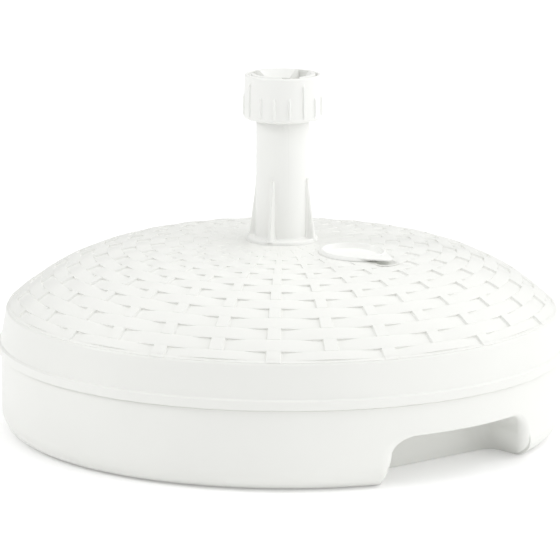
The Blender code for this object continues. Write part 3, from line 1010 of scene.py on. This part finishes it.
def lifting_tab(name):
    """A tongue that narrows from the plug's rim to a round tip over the finger scoop."""
    spread = math.degrees(math.acos((TAB_ROOT - TAB_RADIUS) / TAB_REACH))
    root_steps, tip_steps = 24, 20
    rings = []
    for height, inset in TAB_EDGE:
        tip = polar(TAB_REACH, PLUG_ANGLE, height)
        row = []
        for k in range(root_steps + 1):
            row.append(polar(TAB_ROOT, PLUG_ANGLE - spread + 2 * spread * k / root_steps, height))
        for k in range(tip_steps + 1):
            turn = PLUG_ANGLE + spread - 2 * spread * k / tip_steps
            row.append(tip + polar(TAB_RADIUS - inset, turn))
        rings.append(np.array(row))
    return closed_loft(name, rings)


def make_plug(finish, seat):
    underside = SEAT_TOP + 0.0002
    outline = [
        (0.0, PLUG_HOLLOW_TOP, 0),
        (PLUG_HOLLOW_RADIUS, PLUG_HOLLOW_TOP, 0.001),
        (PLUG_HOLLOW_RADIUS, PLUG_BOTTOM, 0.0005),
        (PLUG_BODY_RADIUS, PLUG_BOTTOM, 0.0012),
        (PLUG_BODY_RADIUS, SEAL_HEIGHT - GROOVE_HALF, 0.0002),
        (GROOVE_RADIUS, SEAL_HEIGHT - GROOVE_HALF, 0.0002),
        (GROOVE_RADIUS, SEAL_HEIGHT + GROOVE_HALF, 0.0002),
        (PLUG_BODY_RADIUS, SEAL_HEIGHT + GROOVE_HALF, 0.0002),
        (PLUG_BODY_RADIUS, underside, 0.0003),
        (PLUG_RADIUS, underside, 0.0002),
        (PLUG_RADIUS, 0.0004, 0.0008),
        (0.0288, PLUG_RIM_HEIGHT, 0.0020),
        (0.0274, PLUG_RIM_HEIGHT, 0.0007),
        (0.0252, PLUG_DISH, 0.0016),
        (0.0, PLUG_DISH, 0),
    ]
    plug = lathe("plug", rounded(outline), 192)
    boolean(plug, lifting_tab("lifting_tab"), "UNION")
    finish_piece(place(plug, seat), "plug", "fill_plug", finish)


def make_seal(finish, seat):
    section = []
    for k in range(SEAL_STEPS):
        angle = 2 * math.pi * k / SEAL_STEPS
        radius = SEAL_RING_RADIUS + SEAL_SECTION * math.cos(angle)
        section.append((radius, SEAL_HEIGHT + SEAL_SECTION * math.sin(angle)))
    seal = place(lathe("seal", section, 160), seat)
    finish_piece(seal, "plug", "plug_seal_ring", finish)


# ---- stage, light, camera ------------------------------------------------------------------------
FLOOR_HALF = 6.0
FLOOR_GLOW = 0.145

# The sky's strength straight to the right (X), behind (Y) and above (Z). It is dark elsewhere.
SKY = (("X", 1.14), ("Y", 0.17), ("Z", 1.08))

# Name, position, diameter in metres and power in watts.
LAMPS = (
    ("high_right", (1.35, -0.5, 2.1), 0.5, 1.2),
    ("high_left", (-1.0, -1.2, 1.7), 0.4, 3.0),
    ("rim_left", (-2.0, -0.2, 1.3), 0.6, 9.5),
)
LAMP_TARGET = Vector((0, 0, 0.1))

CAMERA_POSITION = (-0.0017, -3.782, 0.9084)
CAMERA_TILT = 78.46
CAMERA_ROLL = 0.30
CAMERA_LENS = 270.4
CAMERA_SENSOR = 36.0


def make_floor():
    half = FLOOR_HALF
    mesh = bpy.data.meshes.new("floor")
    corners = [(-half, -half, 0), (half, -half, 0), (half, half, 0), (-half, half, 0)]
    mesh.from_pydata(corners, [], [(0, 1, 2, 3)])
    floor = add_object("floor", mesh)
    made = bpy.data.materials.new("studio_white")
    made.use_nodes = True
    shader = made.node_tree.nodes["Principled BSDF"]
    shader.inputs["Base Color"].default_value = (0.93, 0.93, 0.93, 1)
    shader.inputs["Roughness"].default_value = 0.9
    shader.inputs["Specular IOR Level"].default_value = 0.0
    shader.inputs["Emission Color"].default_value = (1, 1, 1, 1)
    shader.inputs["Emission Strength"].default_value = FLOOR_GLOW
    mesh.materials.append(made)


def make_sky():
    """Soft studio surroundings, brightest to the right and above, that fade evenly from there."""
    world = bpy.data.worlds.new("studio")
    bpy.context.scene.world = world
    world.use_nodes = True
    tree = world.node_tree
    coords = tree.nodes.new("ShaderNodeTexCoord")
    split = tree.nodes.new("ShaderNodeSeparateXYZ")
    tree.links.new(coords.outputs["Generated"], split.inputs["Vector"])
    total = None
    for axis, strength in SKY:
        lit = tree.nodes.new("ShaderNodeMath")
        lit.operation = "MULTIPLY"
        lit.use_clamp = True
        lit.inputs[1].default_value = 1.0
        tree.links.new(split.outputs[axis], lit.inputs[0])
        weigh = tree.nodes.new("ShaderNodeMath")
        weigh.operation = "MULTIPLY_ADD"
        weigh.inputs[1].default_value = strength
        weigh.inputs[2].default_value = 0.0
        tree.links.new(lit.outputs[0], weigh.inputs[0])
        if total:
            tree.links.new(total, weigh.inputs[2])
        total = weigh.outputs[0]
    sky = tree.nodes["Background"]
    tree.links.new(total, sky.inputs["Strength"])
    sky.inputs["Color"].default_value = (1.0, 1.0, 1.0, 1)


def area_light(name, position, size, power):
    data = bpy.data.lights.new(name, "AREA")
    data.shape = "DISK"
    data.size = size
    data.energy = power
    lamp = bpy.data.objects.new(name, data)
    lamp.location = position
    lamp.rotation_euler = (LAMP_TARGET - Vector(position)).to_track_quat("-Z", "Y").to_euler()
    bpy.context.scene.collection.objects.link(lamp)


def make_light():
    make_sky()
    for lamp in LAMPS:
        area_light(*lamp)
    view = bpy.context.scene.view_settings
    view.view_transform = "Standard"
    view.look = "None"


def make_camera():
    data = bpy.data.cameras.new("camera")
    data.sensor_width = CAMERA_SENSOR
    data.lens = CAMERA_LENS
    data.clip_end = 30
    camera = bpy.data.objects.new("camera", data)
    turn = Matrix.Rotation(math.radians(CAMERA_TILT), 4, "X")
    roll = Matrix.Rotation(math.radians(CAMERA_ROLL), 4, "Z")
    camera.matrix_world = Matrix.Translation(CAMERA_POSITION) @ turn @ roll
    bpy.context.scene.collection.objects.link(camera)
    bpy.context.scene.camera = camera


tank = moulded_plastic("tank_plastic", (0.85, 0.855, 0.825), 0.42)
fitting = moulded_plastic("fitting_plastic", (0.915, 0.92, 0.895), 0.38)
rubber = moulded_plastic("seal_rubber", (0.05, 0.05, 0.05), 0.6)
make_drum(tank)
make_shell(tank)
make_tube(fitting)
make_nut(fitting)
make_collet(fitting)
make_plug(fitting, plug_matrix())
make_seal(rubber, plug_matrix())
make_floor()
make_light()
make_camera()
